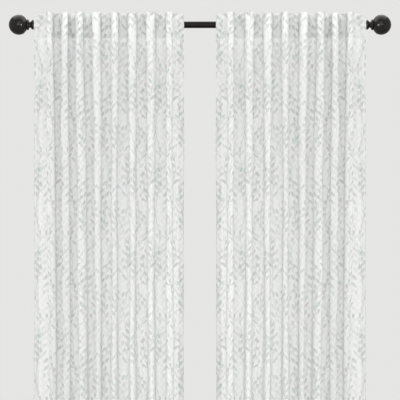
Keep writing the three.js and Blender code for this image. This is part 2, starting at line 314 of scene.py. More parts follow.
class CurtainColours(bpy.types.PropertyGroup):
    """Colours of the cloth, its print and the painted metal."""

    ground: colour_property("Ground", "Unprinted cloth", (0.872, 0.876, 0.876))
    # Painted light: cloth over the heading made lighter than the ground, for the light from above and the brighter
    # double cloth
    heading: colour_property("Heading", "Unprinted cloth at the top, where it is double", (0.884, 0.888, 0.886))
    leaf_grey: colour_property("Grey leaf", "Warmest grey leaves", (0.44, 0.42, 0.408))
    leaf_sage: colour_property("Sage leaf", "Sage leaves", (0.42, 0.437, 0.428))
    leaf_teal: colour_property("Teal leaf", "Bluest leaves", (0.37, 0.48, 0.465))
    stem: colour_property("Stem", "Stems of the print", (0.42, 0.42, 0.415))
    tab: colour_property("Tab", "Plain cloth of the tabs", (0.86, 0.87, 0.87))
    thread: colour_property("Thread", "Thread of the seams", (0.80, 0.80, 0.79))
    paint: colour_property("Paint", "Paint of the rod and finials", (0.0050, 0.0043, 0.0039))


class CurtainStudio(bpy.types.PropertyGroup):
    """The camera and the light of the studio."""

    camera_distance: size_property("Camera distance", "From the camera to the rod", 5.9)
    frame_width: size_property("Frame width", "What the picture shows across at the rod", 1.54)
    camera_height: size_property("Camera height", "Height of the level camera", -0.6745)
    backdrop: colour_property("Backdrop", "Colour all round the studio", (0.79, 0.79, 0.775))
    room_light: size_property("Room light", "Soft light from the room side", 0.98, "NONE")
    wall_light: size_property("Wall light", "Soft light from behind the cloth", 0.50, "NONE")
    side_light: size_property("Side light", "How much stronger the light is from the sides", 0.6, "NONE")


# Cloth that hangs in folds


def between(fold, name, drift):
    """A fold's value at a drift between its top, mid and low columns."""
    return np.interp(drift, (0, 1, 2), [getattr(fold, f"{name}_{part}") for part in ("top", "mid", "low")])


def smooth_between(x, xs, ys):
    """A smooth curve through the points (xs, ys), at x."""
    slopes = np.gradient(ys, xs)
    i = np.clip(np.searchsorted(xs, x) - 1, 0, len(xs) - 2)
    width = xs[i + 1] - xs[i]
    t = np.clip((x - xs[i]) / width, 0, 1)
    low = ys[i] * (1 + 2 * t) + slopes[i] * width * t
    high = ys[i + 1] * (3 - 2 * t) - slopes[i + 1] * width * (1 - t)
    return low * (1 - t) ** 2 + high * t**2


def level_at(z):
    """The panel's level at a height, smoothly between those listed."""
    heights = np.array([level.z for level in LEVELS])[::-1]
    columns = np.array(LEVELS)[::-1]
    return Level(z, *(smooth_between(z, heights, columns[:, i]) for i in range(1, len(Level._fields))))


def edge_shape(level):
    """How much cloth is left past the bend of an edge, and how far that edge reaches past its last tab."""
    curl = math.radians(abs(level.curl))
    tail = EDGE_CLOTH - EDGE_FLAT - EDGE_RADIUS * curl
    return tail, EDGE_FLAT + EDGE_RADIUS * math.sin(curl) + tail * math.cos(curl)


def valley_centres(level):
    """Where the cloth lies flat between the folds, which is where the tabs are sewn."""
    reach = edge_shape(level)[1]
    centres = [level.inner_edge + reach]
    for inner, outer in zip(FOLDS, FOLDS[1:]):
        start = between(inner, "crest", level.drift) + between(inner, "width", level.drift) / 2
        end = between(outer, "crest", level.drift) - between(outer, "width", level.drift) / 2
        centres.append((start + end) / 2)
    return centres + [level.outer_edge - reach]


def running(values):
    """The running sums of the values, from 0."""
    return np.concatenate([[0], np.cumsum(values)])


def path_corners(runs, start):
    """Where the runs of a path, (length, turn in radians) each, begin and end along it, and the path's heading
    there. It sets out at the heading start."""
    lengths, turns = np.array(runs).T
    return running(np.maximum(lengths, 0)), start + running(turns)


def fold_runs(fold, level, start, end):
    """The runs of cloth that make one fold between two valley centres. The sides take up whatever cloth the bends
    and the flats leave."""
    sides = math.radians(level.sides - fold.relax * level.drift / 2)
    crest = between(fold, "crest", level.drift)
    crest_radius = between(fold, "width", level.drift) / 2
    radii = level.root + crest_radius
    spare = CLOTH_BETWEEN_TABS - (end - start) - 2 * radii * (sides - math.sin(sides))
    side = spare / (2 * (1 - math.cos(sides)))
    half = radii * math.sin(sides) + side * math.cos(sides)
    root = (level.root * sides, sides)
    return [
        (crest - start - half, 0),
        root,
        (side, 0),
        (2 * crest_radius * sides, -2 * sides),
        (side, 0),
        root,
        (end - crest - half, 0),
    ]


def section(z, along):
    """Where the cloth lies at one height, at each distance along it from the inner edge: u away from mid-span,
    v in front of the rod's axis, and the unit normal to the front."""
    level = level_at(z)
    tail, reach = edge_shape(level)
    centres = valley_centres(level)
    curl = math.radians(level.curl)
    edge = [(tail, 0), (EDGE_RADIUS * abs(curl), -curl), (EDGE_FLAT, 0)]
    runs = list(edge)
    for fold, start, end in zip(FOLDS, centres, centres[1:]):
        runs += fold_runs(fold, level, start, end)
    runs += edge[::-1]

    ends, headings = path_corners(runs, curl)
    fine = np.arange(0, ends[-1] + SECTION_STEP, SECTION_STEP)
    heading = soften(np.interp(fine, ends, headings), SECTION_SOFTENING)
    for ripple in RIPPLES:
        wave = math.tau * (fine / ripple.across + z / ripple.down + ripple.start)
        heading = heading + math.radians(ripple.degrees) * np.sin(wave)

    middle = (heading[1:] + heading[:-1]) / 2
    u, v = running(np.cos(middle)) * SECTION_STEP, running(np.sin(middle)) * SECTION_STEP
    anchors = EDGE_CLOTH + CLOTH_BETWEEN_TABS * np.arange(len(centres))
    u += np.interp(fine, anchors, centres - np.interp(anchors, fine, u))
    v += np.interp(fine, anchors, level.valley - np.interp(anchors, fine, v))
    across, forward = np.gradient(u, SECTION_STEP), np.gradient(v, SECTION_STEP)
    size = np.hypot(across, forward)
    past = along - np.clip(along, 0, fine[-1])
    found = [np.interp(along, fine, values) for values in (u, v, across / size, forward / size)]
    return found[0] + past * found[2], found[1] + past * found[3], -found[3], found[2]


def soften(values, reach):
    """The values averaged with their neighbours on each side, as many as reach says, twice over."""
    kernel = np.ones(2 * reach + 1) / (2 * reach + 1)
    for _ in range(2):
        values = np.convolve(np.pad(values, reach, mode="edge"), kernel, mode="valid")
    return values


def heading_sag(down, along, width):
    """How far the cloth hangs below its own height near the heading's corners."""
    inner = INNER_SAG * np.clip(1 - along / SAG_WIDTH, 0, None) ** 2
    outer = OUTER_SAG * np.clip(1 - (width - along) / SAG_WIDTH, 0, None) ** 2
    return (inner + outer) * max(0, 1 - down / SAG_HEIGHT)


def creased(down, along):
    """How far the creases push the cloth back from its folds, at one height and at each distance along it. Each
    is deepest above its middle, with a faint ridge on both sides."""
    depth = np.zeros(len(along))
    for crease in CREASES:
        share = (down - crease.drop) / crease.length
        if 0 < share < 1:
            off = (along - crease.along - crease.drift * share) / crease.spread
            trough = np.exp(-CREASE_FADE * off**2) * (1 - CREASE_RIDGES * off**2)
            depth += crease.depth * math.sin(math.pi * share**CREASE_RISE) * trough
    return depth


# One line of a mesh's grid: its place on the flat cloth, its place on the hanging one, and how far behind it is
Line = namedtuple("Line", "flat at behind")


def turned_edge(lines, edge, turn, gap, outwards):
    """Lines of cloth turned to the back at an edge: round a small bend, then back over the given lines."""
    radius = gap / 2
    bend = []
    for angle in np.linspace(0, math.pi, 5)[1:]:
        at = edge + outwards * radius * math.sin(angle)
        bend.append(Line(edge + outwards * radius * angle, at, radius * (1 - math.cos(angle))))
    back = [Line(2 * edge - at, at, gap) for at in lines if 0 < abs(at - edge) < turn]
    end = edge - outwards * turn
    return bend + back + [Line(2 * edge - end, end, gap)]


def seamed(lines, seams, gap):
    """The lines with both layers of a hem drawn together at its seam."""
    found = []
    for line in lines:
        near = max(math.exp(-(((line.at - seam) / SEAM_SPREAD) ** 2)) for seam in seams)
        draw = SEAM_DRAW * gap * near
        found.append(line._replace(behind=line.behind + (draw if line.behind < gap / 2 else -draw)))
    return found


def spaced(length, step, seams):
    """Evenly spaced places from 0 to length, and some close together at each seam."""
    even = np.linspace(0, length, round(length / step) + 1)
    near = [seam + offset * SEAM_SPREAD for seam in seams for offset in SEAM_LINES]
    clear = [at for at in even if min(abs(at - other) for other in near) > SEAM_CLEAR * step]
    return np.array(sorted(clear + near))


def panel_lines(length, step, turns, gap):
    """The lines of a panel's grid one way, over the hem at its start, its face and the hem at its end. turns says
    how wide the hems are, and gap how far their layers are apart."""
    seams = (turns[0] - SEAM_INSET, length - turns[1] + SEAM_INSET)
    places = spaced(length, step, seams)
    lines = turned_edge(places, 0, turns[0], gap, -1)[::-1]
    lines += [Line(at, at, 0) for at in places]
    lines += turned_edge(places[::-1], length, turns[1], gap, 1)
    return seamed(lines, seams, gap)


def new_mesh(name, points, faces, flat=None):
    """A smooth mesh. Its place on the flat cloth, where given, is its UV map in metres."""
    mesh = bpy.data.meshes.new(name)
    mesh.from_pydata(np.reshape(points, (-1, 3)).tolist(), [], faces)
    if flat is not None:
        corners = [vertex for face in faces for vertex in face]
        layer = mesh.uv_layers.new(name="Cloth")
        layer.data.foreach_set("uv", flat.reshape(-1, 2)[corners].astype(np.float32).reshape(-1))
    mesh.polygons.foreach_set("use_smooth", np.ones(len(faces), bool))
    mesh.update()
    return mesh


def grid_faces(*corners, flip):
    """The faces of a grid, from the indices of their first to fourth corners."""
    faces = np.stack(corners, axis=-1).reshape(-1, 4)
    return (faces[:, ::-1] if flip else faces).tolist()


def panel_mesh(name, side, cloth):
    """The cloth of one panel in its folds, with its hems and heading turned to its back. Columns run from the
    inner edge outwards, rows from the top down."""
    columns = panel_lines(cloth.flat_width, cloth.column, (cloth.side_hem, cloth.side_hem), SIDE_GAP)
    rows = panel_lines(PANEL_LENGTH, cloth.row, (cloth.heading, cloth.bottom_hem), END_GAP)
    along = np.array([column.at for column in columns])
    points = np.zeros((len(rows), len(columns), 3))
    flat = np.zeros((len(rows), len(columns), 2))
    for i, row in enumerate(rows):
        z = PANEL_HIGH.z - row.at
        u, v, normal_u, normal_v = section(min(max(z, PANEL_LOW.z), PANEL_HIGH.z), along)
        behind = row.behind + np.array([column.behind for column in columns]) + creased(row.at, along)
        points[i, :, 0] = side * (u - normal_u * behind)
        points[i, :, 1] = -(v - normal_v * behind)
        points[i, :, 2] = z - heading_sag(row.at, along, cloth.flat_width)
        flat[i, :, 0] = [column.flat for column in columns]
        flat[i, :, 1] = PANEL_LENGTH - row.flat
    index = np.arange(len(rows) * len(columns)).reshape(len(rows), -1)
    faces = grid_faces(index[:-1, :-1], index[1:, :-1], index[1:, 1:], index[:-1, 1:], flip=side < 0)
    return new_mesh(name, points, faces, flat)


def tab_path(thickness):
    """The line that a tab's middle follows across the rod, from its upper end to its lower one: how far along it,
    y, z, its heading in radians, and how closely it keeps to the cloth."""
    below = math.radians(TAB_PAST_BACK)
    loop = ROD_RADIUS + TAB_GAP + thickness / 2
    sewn_y = END_GAP + TAB_GAP + thickness / 2 - LEVELS[0].valley
    slant = (loop * math.cos(below) - sewn_y - TAB_LOWER_BEND * (1 - math.cos(below))) / math.sin(below)
    lowest_bend = -loop * math.sin(below) - slant * math.cos(below) - TAB_LOWER_BEND * math.sin(below)
    runs = [
        (TAB_HIGH.z - loop - TAB_UPPER_BEND, 0),
        (TAB_UPPER_BEND * math.pi / 2, math.pi / 2),
        (-sewn_y - TAB_UPPER_BEND, 0),
        (loop * (math.pi / 2 + below), -math.pi / 2 - below),
        (slant, 0),
        (TAB_LOWER_BEND * below, below),
        (lowest_bend - TAB_LOW.z, 0),
    ]
    ends, headings = path_corners(runs, -math.pi / 2)
    along = np.linspace(0, ends[-1], TAB_ROWS)
    heading = np.interp(along, ends, headings)
    middle = (heading[1:] + heading[:-1]) / 2
    y = sewn_y + running(np.cos(middle) * np.diff(along))
    z = TAB_HIGH.z + running(np.sin(middle) * np.diff(along))
    sewn = np.interp(along, (ends[1], ends[2], ends[-3], ends[-2]), (1, 0, 0, 1))
    return along, y, z, heading, sewn


def strip_outline(width, thickness):
    """Points round a flat strip with round edges, in its section: across it and out from its middle."""
    radius = thickness / 2
    flat = width / 2 - radius
    angles = np.radians(np.linspace(-90, 90, 7))
    right = [(flat + radius * math.cos(a), radius * math.sin(a)) for a in angles]
    top = [(x, radius) for x in np.linspace(flat, -flat, 7)[1:-1]]
    half = right + top
    return np.array(half + [(-x, -out) for x, out in half]).T


def tab_mesh(name, side, number, cloth):
    """One back tab: a pressed strip with soft edges, sewn to the cloth above and below the rod and looped over
    and behind it."""
    across, out = strip_outline(TAB_WIDTH, cloth.tab_thickness)
    path = tab_path(cloth.tab_thickness)
    centre = valley_centres(LEVELS[0])[number]
    anchor = EDGE_CLOTH + CLOTH_BETWEEN_TABS * number
    points = np.zeros((len(path[0]), len(across), 3))
    flat = np.zeros((len(path[0]), len(across), 2))
    for i, (along, y, z, heading, sewn) in enumerate(zip(*path)):
        share = along / path[0][-1]
        waist = 1 - TAB_WAIST * math.sin(math.pi * share) ** 2
        place = across * waist + TAB_SKEWS[number] * (share - 0.5)
        points[i, :, 0] = side * (centre + place)
        points[i, :, 1] = y - out * math.sin(heading)
        if sewn:
            forward = section(z, anchor + place)[1] - creased(PANEL_HIGH.z - z, anchor + place)
            points[i, :, 1] += (LEVELS[0].valley - forward) * sewn
        points[i, :, 2] = z + out * math.cos(heading)
        flat[i, :, 0] = across + TAB_WIDTH / 2
        flat[i, :, 1] = along
    index = np.arange(len(path[0]) * len(across)).reshape(len(path[0]), -1)
    after = np.roll(index, -1, axis=1)
    faces = grid_faces(index[:-1], after[:-1], after[1:], index[1:], flip=side > 0)
    faces += [index[0, ::side].tolist(), index[-1, ::-side].tolist()]
    return new_mesh(name, points, faces, flat)


def add_piece(name, mesh, material, node):
    """An object for a mesh, riding on the one body and standing for the given CAD node."""
    piece = bpy.data.objects.new(name, mesh)
    bpy.context.scene.collection.objects.link(piece)
    mesh.materials.append(material)
    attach(piece, "root")
    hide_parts(node)
    return piece


# Materials


# Sockets of the Mix node that are for colours
MIX_SHARE, MIX_FIRST, MIX_SECOND, MIX_RESULT = 0, 6, 7, 2


class Shade:
    """A material's node tree, built by short calls that return sockets."""

    def __init__(self, tree):
        self.tree = tree

    def node(self, kind, given=(), **settings):
        """A new node with these settings. given holds values or sockets for its inputs, by name or in order."""
        made = self.tree.nodes.new(kind)
        for name, value in settings.items():
            setattr(made, name, value)
        for key, value in given.items() if isinstance(given, dict) else enumerate(given):
            self.feed(made.inputs[key], value)
        return made

    def feed(self, socket, value):
        if isinstance(value, bpy.types.NodeSocket):
            self.tree.links.new(value, socket)
        else:
            socket.default_value = value

    def math(self, operation, *values):
        return self.node("ShaderNodeMath", values, operation=operation).outputs[0]

    def minus(self, value, other):
        return self.math("SUBTRACT", value, other)

    def times(self, value, other):
        return self.math("MULTIPLY", value, other)

    def times_plus(self, value, factor, more):
        return self.math("MULTIPLY_ADD", value, factor, more)

    def between(self, value, low, high, to_low=0.0, to_high=1.0):
        """value mapped from low..high to to_low..to_high, and held at the ends."""
        given = (value, low, high, to_low, to_high)
        return self.node("ShaderNodeMapRange", given, interpolation_type="SMOOTHSTEP").outputs[0]

    def mix(self, share, first, second):
        given = {MIX_SHARE: share, MIX_FIRST: first, MIX_SECOND: second}
        return self.node("ShaderNodeMix", given, data_type="RGBA").outputs[MIX_RESULT]

    def mixed_shader(self, share, first, second):
        return self.node("ShaderNodeMixShader", (share, first.outputs[0], second.outputs[0])).outputs[0]

    def noise(self, vector, scale, detail=3.0, roughness=0.6):
        given = {"Vector": vector, "Scale": scale, "Detail": detail, "Roughness": roughness}
        return self.node("ShaderNodeTexNoise", given).outputs["Fac"]

    def scaled(self, vector, factors):
        return self.node("ShaderNodeVectorMath", (vector, factors), operation="MULTIPLY").outputs[0]


def rgba(colour, factor=1.0):
    """A colour times a factor, as a socket takes it."""
    return (*[part * factor for part in colour], 1.0)


def new_material(name):
    """An empty material and its Shade, with its output node."""
    material = bpy.data.materials.new(name)
    material.use_nodes = True
    material.node_tree.nodes.clear()
    shade = Shade(material.node_tree)
    return material, shade, shade.node("ShaderNodeOutputMaterial")


def leafy_stem_group():
    """A node group that draws one stem with a leaf on each side in turn, from the distance across it and the
    distance up it."""
    tree = bpy.data.node_groups.new("leafy_stem", "ShaderNodeTree")
    inputs = ("Across", "Up", "Leaves", "Length", "Width", "Lean", "Spread", "Seed")
    for in_out, names in (("INPUT", inputs), ("OUTPUT", ("Leaf", "Stem", "Tone"))):
        for name in names:
            tree.interface.new_socket(name, in_out=in_out, socket_type="NodeSocketFloat")
    shade = Shade(tree)
    given = shade.node("NodeGroupInput").outputs
    across, up, leaves, length, width, lean, spread, seed = (given[name] for name in inputs)

    # Which leaf this is: its place on the stem gives its chances
    pitch = shade.math("DIVIDE", REPEAT_UP, leaves)
    right = shade.math("GREATER_THAN", across, 0.0)
    climb = shade.math("ADD", shade.math("DIVIDE", up, pitch), shade.times(right, 0.5))
    cell = shade.math("FLOOR", climb)
    base = shade.times(shade.minus(climb, cell), pitch)
    place = shade.node("ShaderNodeCombineXYZ", (shade.math("FLOORED_MODULO", cell, leaves), right, seed))
    chance = shade.node("ShaderNodeTexWhiteNoise", {"Vector": place.outputs[0]}, noise_dimensions="3D")
    size, tone, ink = shade.node("ShaderNodeSeparateColor", (chance.outputs["Color"],)).outputs

    # Along the leaf and across it
    angle = shade.times_plus(shade.math("POWER", chance.outputs["Value"], LEAN_POWER), spread, lean)
    sine, cosine = shade.math("SINE", angle), shade.math("COSINE", angle)
    base = shade.minus(base, shade.times(sine, LEAF_DROP))
    aside = shade.math("ABSOLUTE", across)
    outwards = shade.math("ADD", shade.times(aside, sine), shade.times(base, cosine))
    sideways = shade.minus(shade.times(aside, cosine), shade.times(base, sine))
    reach = shade.times(length, shade.times_plus(size, LENGTH_MORE, LENGTH_LEAST))
    share = shade.math("DIVIDE", shade.minus(outwards, LEAF_STALK), reach)
    share = shade.math("MINIMUM", shade.math("MAXIMUM", share, 0.0), 1.0)
    bend = shade.times(shade.minus(tone, STRAIGHT_AT), LEAF_BEND)
    sideways = shade.times_plus(shade.times(share, share), bend, sideways)
    off_rib = shade.math("ABSOLUTE", sideways)
    bow = shade.times(shade.math("POWER", share, LEAF_BLUNT), shade.minus(1.0, share))
    half = shade.times(bow, shade.times(width, LEAF_FULL))

    # Leaves are drawn with unlike weights, palest near the base and along the rib
    leaf = shade.between(shade.minus(half, off_rib), *LEAF_EDGE)
    weight = shade.times_plus(shade.math("POWER", ink, INK_POWER), INK_MORE, INK_LEAST)
    weight = shade.times(weight, shade.times_plus(share, INK_TO_TIP, INK_AT_BASE))
    rib = shade.between(off_rib, *RIB_EDGE, RIB_INK, 1.0)
    leaf = shade.times(leaf, shade.times(weight, rib))
    stem = shade.between(aside, *STEM_EDGE, 1.0, 0.0)
    shade.node("NodeGroupOutput", {"Leaf": leaf, "Stem": stem, "Tone": tone})
    return tree


def stem_path(shade, up, stem):
    """How far a stem of the print lies from its own line, at each height."""
    turn = math.tau / REPEAT_UP
    swing = shade.math("SINE", shade.times_plus(up, turn, math.tau * stem.swing_at))
    sway = shade.math("SINE", shade.times_plus(up, 2 * turn, math.tau * stem.sway_at))
    path = shade.times_plus(swing, stem.swing, stem.offset)
    return shade.times_plus(sway, stem.sway, path)


def leafy_stem(shade, group, across, up, path, kind, seed):
    """The leaf, stem and tone sockets of one leafy stem along a path. kind is its row of the tables above."""
    values = {
        "Across": shade.math("WRAP", shade.minus(across, path), REPEAT_ACROSS / 2, -REPEAT_ACROSS / 2),
        "Up": up,
        "Leaves": kind.leaves,
        "Length": kind.length,
        "Width": kind.width,
        "Lean": math.radians(kind.lean_least),
        "Spread": math.radians(kind.lean_most - kind.lean_least),
        "Seed": seed,
    }
    drawn = shade.node("ShaderNodeGroup", values, node_tree=group).outputs
    return drawn["Leaf"], shade.times(drawn["Stem"], kind.line), drawn["Tone"]


def print_layers(shade, across, up):
    """Every stem and fork of the print: (leaf, stem, tone) sockets for each."""
    group = leafy_stem_group()
    paths = [stem_path(shade, up, stem) for stem in STEMS]
    layers = [leafy_stem(shade, group, across, up, paths[i], stem, i) for i, stem in enumerate(STEMS)]
    for i, fork in enumerate(FORKS):
        climbed = shade.math("FLOORED_MODULO", shade.minus(up, fork.at), REPEAT_UP)
        share = shade.math("DIVIDE", climbed, fork.climb)
        left = shade.minus(1.0, share)
        aside = shade.minus(1.0, shade.times(left, left))
        path = shade.times_plus(aside, fork.reach, paths[fork.stem])
        leaf, stem, tone = leafy_stem(shade, group, across, up, path, fork, i + len(STEMS))
        there = shade.math("LESS_THAN", share, 1.0)
        layers.append((shade.times(leaf, there), shade.times(stem, there), tone))
    return layers


def printed_colour(shade, ground, across, up, colours):
    """The ground colour with the leaf and vine print on it."""
    colour = ground
    for leaf, stem, tone in print_layers(shade, across, up):
        ramp = shade.node("ShaderNodeValToRGB", (tone,))
        stops = ramp.color_ramp.elements
        stops[0].position, stops[0].color = 0.0, rgba(colours.leaf_grey)
        stops[1].position, stops[1].color = 1.0, rgba(colours.leaf_teal)
        middle = stops.new(0.5)
        middle.color = rgba(colours.leaf_sage)
        colour = shade.mix(stem, colour, rgba(colours.stem))
        colour = shade.mix(leaf, colour, ramp.outputs[0])
    return colour


def stitched(shade, crossing, along, stitch):
    """How strongly a thread shows and how deep its seam is, at a distance across a line of stitches and a place
    along it. The depth also carries the painted shade in the seam's trough."""
    off = shade.math("ABSOLUTE", crossing)
    step = shade.math("PINGPONG", along, stitch / 2)
    dash = shade.between(step, *(stitch * end for end in STITCH_END))
    thread = shade.times(shade.between(off, *THREAD_EDGE, 1.0, 0.0), dash)
    return thread, shade.between(off, *TROUGH_EDGE, 1.0, 0.0)


def panel_seams(shade, across, up, cloth):
    """The panel's lines of stitches: (thread, seam) for the side hems, the bottom hem and the heading."""
    half = cloth.flat_width / 2
    centred = shade.math("ABSOLUTE", shade.minus(across, half))
    lines = (
        (shade.math("ABSOLUTE", shade.minus(centred, half)), up, cloth.side_hem),
        (shade.math("ABSOLUTE", up), across, cloth.bottom_hem),
        (shade.math("ABSOLUTE", shade.minus(up, PANEL_LENGTH)), across, cloth.heading),
    )
    return [
        stitched(shade, shade.minus(distance, hem - SEAM_INSET), along, cloth.stitch)
        for distance, along, hem in lines
    ]


def tab_seams(shade, across, up, cloth):
    """A tab's lines of stitches: (thread, seam) near each end."""
    length = tab_path(cloth.tab_thickness)[0][-1]
    return [
        stitched(shade, shade.minus(up, at), across, cloth.stitch)
        for at in (SEAM_INSET, length - SEAM_INSET)
    ]


def cloth_material(name, colours, ground, printed, cloth):
    """Semi-sheer plain weave with slubs and stitched seams, with painted shade in the seams' troughs, with or
    without the print. With the print comes painted light over the heading.
    """
    material, shade, output = new_material(name)
    place = shade.node("ShaderNodeUVMap", uv_map="Cloth").outputs[0]
    across, up = shade.node("ShaderNodeSeparateXYZ", (place,)).outputs[:2]

    warp, weft = (shade.math("SINE", shade.times(way, math.tau / THREAD_PITCH)) for way in (across, up))
    weave = shade.times(warp, weft)
    slubs = shade.math("ADD", *(shade.noise(shade.scaled(place, thread), 1.0) for thread in SLUBS))

    def darkened(colour, where, dark):
        return shade.mix(shade.times(where, dark.strength), colour, rgba(ground, dark.part))

    colour = rgba(ground)
    # Painted light: the heading is made lighter towards the top, for the light from above and the brighter double
    # cloth
    if printed:
        double = shade.between(up, *(PANEL_LENGTH - share * cloth.heading for share in HEADING_LIGHT_FADE))
        colour = shade.mix(double, colour, rgba(colours.heading))
    colour = darkened(colour, shade.between(slubs, *SLUB_FADE, 1.0, 0.0), SLUB_DARK)
    colour = darkened(colour, shade.noise(place, CLOUDS), CLOUD_DARK)
    if printed:
        colour = printed_colour(shade, colour, across, up, colours)

    height = shade.times_plus(weave, WEAVE_HIGH, slubs)
    seams = panel_seams if printed else tab_seams
    for thread, seam in seams(shade, across, up, cloth):
        # Painted shade in the seam's trough, then the thread over it, and both in the bump
        colour = darkened(colour, seam, SEAM_PAINTED_SHADE)
        colour = shade.mix(shade.times(thread, THREAD_SHOWS), colour, rgba(colours.thread))
        height = shade.times_plus(seam, SEAM_HIGH, height)
        height = shade.times_plus(thread, THREAD_HIGH, height)
    bump = shade.node("ShaderNodeBump", {"Strength": 0.35, "Distance": 0.0004, "Height": height}).outputs[0]

    finish = {
        "Base Color": colour,
        "Roughness": 0.85,
        "Specular IOR Level": 0.25,
        "Sheen Weight": 0.15,
        "Sheen Roughness": 0.5,
        "Normal": bump,
    }
    face = shade.node("ShaderNodeBsdfPrincipled", finish)
    through = shade.node("ShaderNodeBsdfTranslucent", {"Color": colour, "Normal": bump})
    shade.feed(output.inputs[0], shade.mixed_shader(SHEERNESS, face, through))
    return material


def paint_material(name, colour, paint):
    """Satin paint on metal, with a faint orange-peel surface and uneven gloss."""
    material, shade, output = new_material(name)
    place = shade.node("ShaderNodeTexCoord").outputs["Object"]
    uneven = shade.noise(place, 35.0, 4.0)
    peel = shade.noise(place, 900.0, 2.0, 0.5)
    finish = {
        "Base Color": shade.mix(uneven, rgba(colour), rgba(colour, 1.5)),
        "Roughness": shade.between(uneven, 0.3, 0.7, paint.roughness - 0.05, paint.roughness + 0.06),
        "Specular IOR Level": paint.gloss,
        "Normal": shade.node("ShaderNodeBump", {"Strength": 0.15, "Distance": 0.00005, "Height": peel}).outputs[0],
    }
    shade.feed(output.inputs[0], shade.node("ShaderNodeBsdfPrincipled", finish).outputs[0])
    return material


# Turned pieces


def turned_mesh(name, profile, centre, direction, facets=64):
    """A closed surface turned about a line along X: profile is (along, radius) from one end on it to the other."""
    angles = np.linspace(0, math.tau, facets, endpoint=False)
    points = [(centre + direction * profile[0][0], 0, 0)]
    for along, radius in profile[1:-1]:
        x = centre + direction * along
        points += [(x, radius * math.cos(a), radius * math.sin(a)) for a in angles]
    points.append((centre + direction * profile[-1][0], 0, 0))
    rings, last = len(profile) - 2, len(points) - 1
    faces = []
    for i in range(facets):
        j = (i + 1) % facets
        faces.append((0, 1 + j, 1 + i))
        for ring in range(rings - 1):
            low, high = 1 + ring * facets, 1 + (ring + 1) * facets
            faces.append((low + i, low + j, high + j, high + i))
        start = 1 + (rings - 1) * facets
        faces.append((last, start + i, start + j))
    if direction < 0:
        faces = [face[::-1] for face in faces]
    return new_mesh(name, points, faces)


def arc(centre, radius, start, end, steps):
    """Points (along, radius) of an arc in a profile. Angles are in degrees from the outward direction."""
    return [
        (centre[0] + radius * math.cos(math.radians(a)), centre[1] + radius * math.sin(math.radians(a)))
        for a in np.linspace(start, end, steps)
    ]


def finial_profile():
    """A finial's outline from its socket's floor out to the tip of its ball, in metres from its inner face. The
    ball is drawn in a little on its inner side, from as many degrees off its tip as drawn_from says."""
    socket, depth, rim = ROD_RADIUS + 0.0003, 0.008, 0.0004
    collar, collar_at, collar_round = 0.0187, 0.0055, 0.0040
    neck, neck_at, neck_end = 0.0105, 0.0150, 0.0165
    disc, disc_at, disc_round = 0.0216, 0.0243, 0.0026
    groove, groove_at, groove_end = 0.0176, 0.0278, 0.0288
    ball, centre, ball_at = 0.0385, 0.0590, 0.0292
    drawn_from, draw, draw_power = 112, 0.16, 1.6
    points = [(depth, 0), (depth, socket), (rim, socket), (0, socket + 1.5 * rim)]
    points += arc((collar_at, collar - collar_round), collar_round, 165, 55, 12)
    points += [(neck_at, neck), (neck_end, neck)]
    points += arc((disc_at, disc - disc_round), disc_round, 130, 25, 12)
    points += [(groove_at, groove), (groove_end, groove)]
    start = 180 - math.degrees(math.acos((centre - ball_at) / ball))
    steps = 40
    for (along, radius), angle in zip(arc((centre, 0), ball, start, 0, steps), np.linspace(start, 0, steps)):
        near = max(0, (angle - drawn_from) / (start - drawn_from))
        points.append((along, radius * (1 - draw * near**draw_power)))
    return points


# Operators, one for each piece or group of like pieces


class CURTAIN_OT_add_rod(bpy.types.Operator):
    """Add the round rod that carries both panels"""

    bl_idname = "curtain.add_rod"
    bl_label = "Add rod"

    def execute(self, context):
        length, chamfer = ROD_HIGH.x - ROD_LOW.x, 0.0006
        profile = [(0, 0), (0, ROD_RADIUS - chamfer), (chamfer, ROD_RADIUS)]
        profile += [(length * share, ROD_RADIUS) for share in np.linspace(0, 1, 41)[1:-1]]
        profile += [(length - chamfer, ROD_RADIUS), (length, ROD_RADIUS - chamfer), (length, 0)]
        mesh = turned_mesh("rod", profile, ROD_LOW.x, 1)
        material = paint_material("rod_paint", context.scene.curtain_colours.paint, ROD_PAINT)
        add_piece("rod_bar", mesh, material, "rod")
        return {"FINISHED"}


class CURTAIN_OT_add_finials(bpy.types.Operator):
    """Add the two turned ball finials"""

    bl_idname = "curtain.add_finials"
    bl_label = "Add finials"

    def execute(self, context):
        material = paint_material("finial_paint", context.scene.curtain_colours.paint, FINIAL_PAINT)
        for name, side in SIDES.items():
            mesh = turned_mesh(f"finial_{name}", finial_profile(), side * FINIAL_LOW.x, side)
            add_piece(f"finial_{name}_turned", mesh, material, f"finial_{name}")
        return {"FINISHED"}


class CURTAIN_OT_add_panels(bpy.types.Operator):
    """Add the two cloth panels in their folds"""

    bl_idname = "curtain.add_panels"
    bl_label = "Add panels"

    def execute(self, context):
        cloth, colours = context.scene.curtain_cloth, context.scene.curtain_colours
        material = cloth_material("panel_cloth", colours, colours.ground, True, cloth)
        for name, side in SIDES.items():
            mesh = panel_mesh(f"panel_{name}", side, cloth)
            piece = add_piece(f"panel_{name}_cloth", mesh, material, f"panel_{name}")
        return {"FINISHED"}


class CURTAIN_OT_add_tabs(bpy.types.Operator):
    """Add the back tabs that carry the panels on the rod"""

    bl_idname = "curtain.add_tabs"
    bl_label = "Add back tabs"

    def execute(self, context):
        cloth, colours = context.scene.curtain_cloth, context.scene.curtain_colours
        material = cloth_material("tab_cloth", colours, colours.tab, False, cloth)
        for name, side in SIDES.items():
            for i in range(TAB_COUNT):
                node = f"tab_{name}_{i + 1}"
                mesh = tab_mesh(node, side, i, cloth)
                piece = add_piece(f"{node}_strip", mesh, material, node)
        return {"FINISHED"}


class CURTAIN_OT_add_studio(bpy.types.Operator):
    """Add the floor, the lights and the camera"""

    bl_idname = "curtain.add_studio"
    bl_label = "Add studio"

    def execute(self, context):
        studio = context.scene.curtain_studio
        scene = context.scene
        add_floor()
        add_world(scene, studio)
        for row in LAMPS:
            add_lamp(row)
        add_camera(scene, studio)
        return {"FINISHED"}


# Studio


